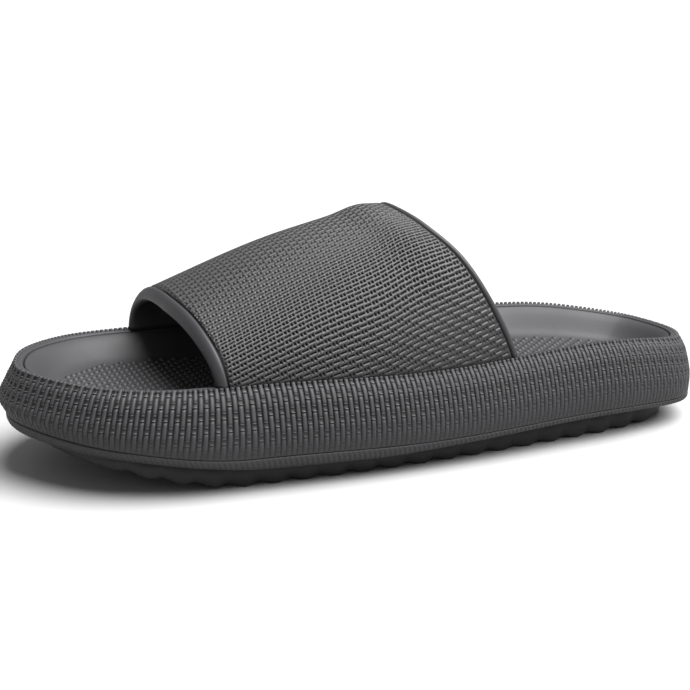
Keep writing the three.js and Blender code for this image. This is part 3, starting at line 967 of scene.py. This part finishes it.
# %% The bumps
BUMP_PITCH = 3.5
BUMP_FOOT_RADIUS = 2.1
BUMP_TOP_RADIUS = 0.75
BUMP_DEPTH = 1.6
BUMPS_REACH = 118
one_bump = bmesh.new()
bmesh.ops.create_cone(
    one_bump,
    cap_ends=True,
    segments=8,
    radius1=BUMP_FOOT_RADIUS * MM,
    radius2=BUMP_TOP_RADIUS * MM,
    depth=BUMP_DEPTH * MM,
)
bump_mesh = bpy.data.meshes.new("one_bump")
one_bump.to_mesh(bump_mesh)
one_bump.free()
tree_of_sole = BVHTree.FromObject(sole, bpy.context.evaluated_depsgraph_get())
bumps = bmesh.new()
bump_count = 0
for i in range(-60, 61):
    for j in range(-60, 61):
        x = (i + j) * BUMP_PITCH / math.sqrt(2)
        y = (i - j) * BUMP_PITCH / math.sqrt(2)
        if not -BUMPS_REACH < x < BUMPS_REACH:
            continue
        # The field leaves the toe's outer half bare, and ends at the foot of the inner wall
        if y > lerp(10.0, 34.0, min(1.0, (x + BUMPS_REACH) / 26)):
            continue
        left = np.interp(x, inner_x, inner_y) + RIM_WIDTH + 7.5
        right = np.interp(x, outer_x, outer_y) - RIM_WIDTH - 12.0
        if not left < y < right:
            continue
        start = Vector((x, y + FRAME_SHIFT[1], 60.0)) * MM
        place, normal, face, far = tree_of_sole.ray_cast(start, Vector((0, 0, -1)))
        if place is None:
            continue
        turn = normal.to_track_quat("Z", "Y").to_matrix().to_4x4()
        known = len(bumps.verts)
        bumps.from_mesh(bump_mesh)
        bumps.verts.ensure_lookup_table()
        matrix = Matrix.Translation(place) @ turn
        bmesh.ops.transform(bumps, matrix=matrix, verts=bumps.verts[known:])
        bump_count += 1
bpy.data.meshes.remove(bump_mesh)
footbed_bumps = new_piece("footbed_bumps", bumps, EVA_SATIN)
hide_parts("sole")
print("bumps:", bump_count)

# %% [markdown]
# ## The tread
# The tread is a separate-looking block that sits in the recess under the sole: a smooth side, painted a
# little darker than the rest as painted shade under the sole, with a gently wavy edge, and zigzag grooves
# across the underside for grip. The grid's columns follow the zigzag, so each groove has clean walls
# without a boolean cut.

# %% The tread
LUG_PITCH = 11.9
LUG_FROM = -115.2
LUG_COUNT = 20
LUG_SWELL = 1.7
GROOVE_DEPTH = 2.2
EDGE_WAVE = 1.2
LOW_SWELL = 0.35
HIGH_SWELL = 0.1
LUG_STEPS = np.array([(0.0, -1.0), (0.3, 0.0), (0.6, 1.0), (0.8, 0.4), (1.0, -1.0)])


def lug_swell(x):
    """How far the tread's edge swells out sideways at each lug."""
    lug = (x - LUG_FROM) / LUG_PITCH
    swell = smooth(LUG_STEPS, 1, np.mod(lug, 1))
    inside = np.clip(lug, 0, 1) * np.clip(LUG_COUNT - lug, 0, 1)
    return LUG_SWELL * swell * inside


tread_inner = inset_xy(inner_t, *TREAD_INSETS)
tread_outer = inset_xy(outer_t, *TREAD_INSETS)
tread_toe = tread_inner[0].min() + 0.01
tread_heel = tread_inner[0].max() - 0.01
# Fine steps at each groove's four edges, and the tips' steps close up towards the tips
groove_edges = []
for lug in range(1, LUG_COUNT + 1):
    middle = LUG_FROM + lug * LUG_PITCH
    groove_edges += [middle + step for step in (-4.5, -3.0, -1.75, -1.4, 0.0, 1.4, 1.75, 3.0, 4.5)]
tips = [tread_toe + (LUG_FROM + 5 - tread_toe) * step for step in (1 - np.cos(np.linspace(0, 1.5, 14)))]
tips += [tread_heel - (tread_heel - 124.5) * step for step in (1 - np.cos(np.linspace(0, 1.5, 10)))]
tread_x = np.sort(np.array(groove_edges + tips))
width_shares = np.linspace(-1, 1, 33)


def zigzag(share):
    """How far the grooves bend towards the toe, in millimetres, across the tread."""
    return -3.0 * np.abs(np.mod(share * 4 + 1, 2) - 1)


def tread_rows(past, height_over, groove_depth, swell_share, notch=0.0):
    """Rows of the tread across its width, at a height over the floor of the sole's spring."""
    lies = []
    for share in width_shares:
        bend = zigzag(share) * np.clip((tread_x - tread_toe) / 18, 0, 1)
        bend = bend * np.clip((tread_heel - tread_x) / 12, 0, 1)
        x = tread_x + bend
        swell = lug_swell(x) * swell_share - past
        left = np.interp(x, *tread_inner) - swell
        right = np.interp(x, *tread_outer) + swell
        lug = np.abs(np.mod((tread_x - LUG_FROM) / LUG_PITCH + 0.5, 1) - 0.5) * LUG_PITCH
        in_grooves = (tread_x > LUG_FROM + 5) & (tread_x < LUG_FROM + (LUG_COUNT + 0.4) * LUG_PITCH)
        short = np.clip((0.92 - abs(share)) / 0.05, 0, 1)
        groove = groove_depth * short * in_grooves * np.clip((1.75 - lug) / 0.35, 0, 1)
        y = lerp(left, right, (share + 1) / 2)
        # The side's lower edge lifts a little between two lugs, in a gentle wave
        wave = (1 + np.cos(2 * np.pi * (x - LUG_FROM) / LUG_PITCH)) / 2 * in_grooves
        lift = notch * wave * np.clip((abs(share) - 0.84) / 0.1, 0, 1)
        lies.append(stacked(x, y, height_over(x) + np.maximum(groove, lift)))
    return lies


bottom = tread_rows(0.8, spring_z, GROOVE_DEPTH, LOW_SWELL, EDGE_WAVE)
edge_low = tread_rows(0.0, lambda x: spring_z(x) + 0.8, 0.0, LOW_SWELL, EDGE_WAVE)
edge_high = tread_rows(0.0, lambda x: band_foot_z(x) - 0.1, 0.0, HIGH_SWELL)
top = tread_rows(0.3, lambda x: band_foot_z(x) + 2.7, 0.0, 0.0)
shelf = tread_rows(0.3, lambda x: band_foot_z(x) - 0.1, 0.0, 0.0)
tread_points = np.stack(
    [edge_low[-1], edge_high[-1], shelf[-1]]
    + top[::-1]
    + [shelf[0], edge_high[0], edge_low[0]]
    + bottom
)
tread_points[:, (0, -1), 1] = tread_points[:, (0, -1), 1].mean(axis=0)
tread = bent_sheet("tread", tread_points, np.zeros(tread_points.shape[:2]), EVA_TREAD, closed_rows=True)
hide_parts("outsole")

# %% [markdown]
# ## Floor, light and camera
# The photograph is a studio shot on white, taken from a little above the slide's inner side. A wide sun
# gives the soft light from above, a weak pale sky fills the rest, and the camera stands where the slide
# in the photograph says it stood.

# %% The stage
floor_bm = bmesh.new()
bmesh.ops.create_grid(floor_bm, x_segments=2, y_segments=2, size=6.0)
floor_mesh = bpy.data.meshes.new("floor")
floor_bm.to_mesh(floor_mesh)
floor_bm.free()
floor = bpy.data.objects.new("floor", floor_mesh)
bpy.context.scene.collection.objects.link(floor)
paper = bpy.data.materials.new("matt_white_paper")
paper.use_nodes = True
paper_shader = paper.node_tree.nodes["Principled BSDF"]
paper_shader.inputs["Base Color"].default_value = linear("#a0a0a0")
paper_shader.inputs["Roughness"].default_value = 0.9
paper_shader.inputs["Specular IOR Level"].default_value = 0.1
floor_mesh.materials.append(paper)


def soft_light(name, towards, strength, spread):
    """A sun that shines from one direction, spread over an angle like a large softbox."""
    light = bpy.data.lights.new(name, "SUN")
    light.energy = strength
    light.angle = math.radians(spread)
    lamp = bpy.data.objects.new(name, light)
    lamp.rotation_euler = Vector(towards).to_track_quat("Z", "Y").to_euler()
    bpy.context.scene.collection.objects.link(lamp)


soft_light("key_softbox", (0.38, -0.26, 0.9), 10.5, 60)

world = bpy.data.worlds.new("pale_studio")
world.use_nodes = True
world.node_tree.nodes["Background"].inputs["Color"].default_value = (1.0, 1.0, 1.0, 1.0)
world.node_tree.nodes["Background"].inputs["Strength"].default_value = 0.4
bpy.context.scene.world = world
# A catalogue shot on white is exposed until the paper is white, without a film curve over it
bpy.context.scene.view_settings.view_transform = "Standard"

# %% The camera
AZIMUTH = math.radians(-19.51)
ELEVATION = math.radians(15.34)
ROLL = math.radians(0.25)
# How far the camera stands to the left of the slide's middle, above it and back from it, in millimetres
TO_THE_LEFT = 5.96
ABOVE = 36.02
AWAY = 658.48
FOCAL_LENGTH_PIXELS = 1617.08
IMAGE_WIDTH_PIXELS = 690
SENSOR_WIDTH = 36.0
back = Vector((
    math.sin(AZIMUTH) * math.cos(ELEVATION),
    -math.cos(AZIMUTH) * math.cos(ELEVATION),
    math.sin(ELEVATION),
))
level = Vector((math.cos(AZIMUTH), math.sin(AZIMUTH), 0.0))
upright = back.cross(level)
right_way = math.cos(ROLL) * level + math.sin(ROLL) * upright
up_way = math.cos(ROLL) * upright - math.sin(ROLL) * level
lens_data = bpy.data.cameras.new("camera")
lens_data.sensor_width = SENSOR_WIDTH
lens_data.lens = SENSOR_WIDTH * FOCAL_LENGTH_PIXELS / IMAGE_WIDTH_PIXELS
lens_data.clip_start = 0.01
camera = bpy.data.objects.new("camera", lens_data)
place = -TO_THE_LEFT * right_way + ABOVE * up_way + AWAY * back + Vector(FRAME_SHIFT)
turned = Matrix((right_way, up_way, back)).transposed().to_4x4()
camera.matrix_world = Matrix.Translation(place * MM) @ turned
bpy.context.scene.collection.objects.link(camera)
bpy.context.scene.camera = camera
